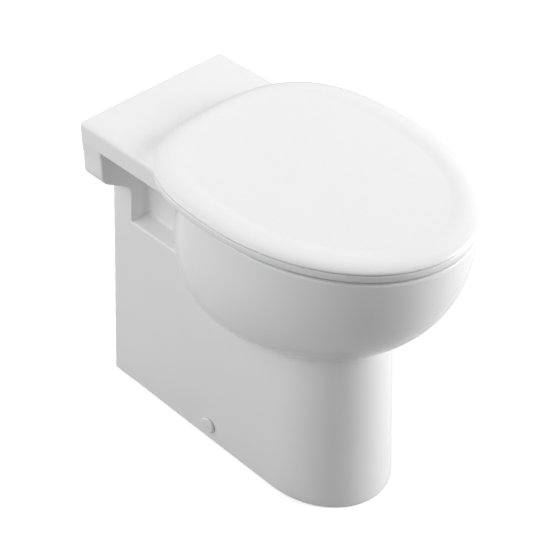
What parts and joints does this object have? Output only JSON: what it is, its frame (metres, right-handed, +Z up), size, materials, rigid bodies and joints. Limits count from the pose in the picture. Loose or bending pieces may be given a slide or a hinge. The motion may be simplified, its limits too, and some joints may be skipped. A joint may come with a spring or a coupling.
{
  "type": "back to wall toilet",
  "caption": "Back-to-wall toilet: china pan with a deck, egg-shaped bowl, trapway and hollow tapered skirt, a hinged seat ring and a thin hinged lid.",
  "frame": {"origin": "on the floor, under the centre of the whole product's box", "axes": "+Z up, +Y towards the wall behind the toilet, -Y towards the front of the bowl, +X to the right when looking at its front, where the nodes named right are"},
  "size_m": [0.369, 0.577, 0.5245],
  "materials": {
    "glazed_china": "white high-gloss glaze",
    "seat_gloss": "white gloss thermoset",
    "white_cap": "white moulded cap",
    "buffer_rubber": "soft translucent white",
    "bush_plastic": "moulded acetal",
    "fixing_plastic": "moulded nylon",
    "stainless": "satin stainless",
    "black_rubber": "matt moulded rubber",
    "clear_rubber": "thin soft gasket"
  },
  "bodies": {
    "china": {"pan": "glazed_china", "flush_inlet_seal": "black_rubber", "hinge_plate_left": "stainless", "hinge_plate_right": "stainless", "hinge_pin_left": "stainless", "hinge_pin_right": "stainless", "hinge_bolt_left": "stainless", "hinge_bolt_right": "stainless", "hinge_gaskets": "clear_rubber", "cone_washers": "black_rubber", "wing_nuts": "fixing_plastic", "floor_bracket_left": "fixing_plastic", "floor_bracket_right": "fixing_plastic", "side_sleeves": "fixing_plastic", "side_screws": "stainless", "screw_cap_left": "white_cap", "screw_cap_right": "white_cap"},
    "seat": {"seat_ring": "seat_gloss", "seat_buffers": "buffer_rubber", "seat_hinge_bushes": "bush_plastic"},
    "cover": {"lid": "seat_gloss", "lid_buffers": "buffer_rubber", "lid_hinge_bushes": "bush_plastic"}
  },
  "joints": [
    {"name": "seat_hinge", "type": "hinge", "parent": "china", "child": "seat", "pos_m": [0, 0.1515, 0.5145], "axis": [-1, 0, 0], "range_deg": [0, 93]},
    {"name": "lid_hinge", "type": "hinge", "parent": "seat", "child": "cover", "pos_m": [0, 0.1515, 0.5145], "axis": [-1, 0, 0], "range_deg": [0, 92]}
  ]
}
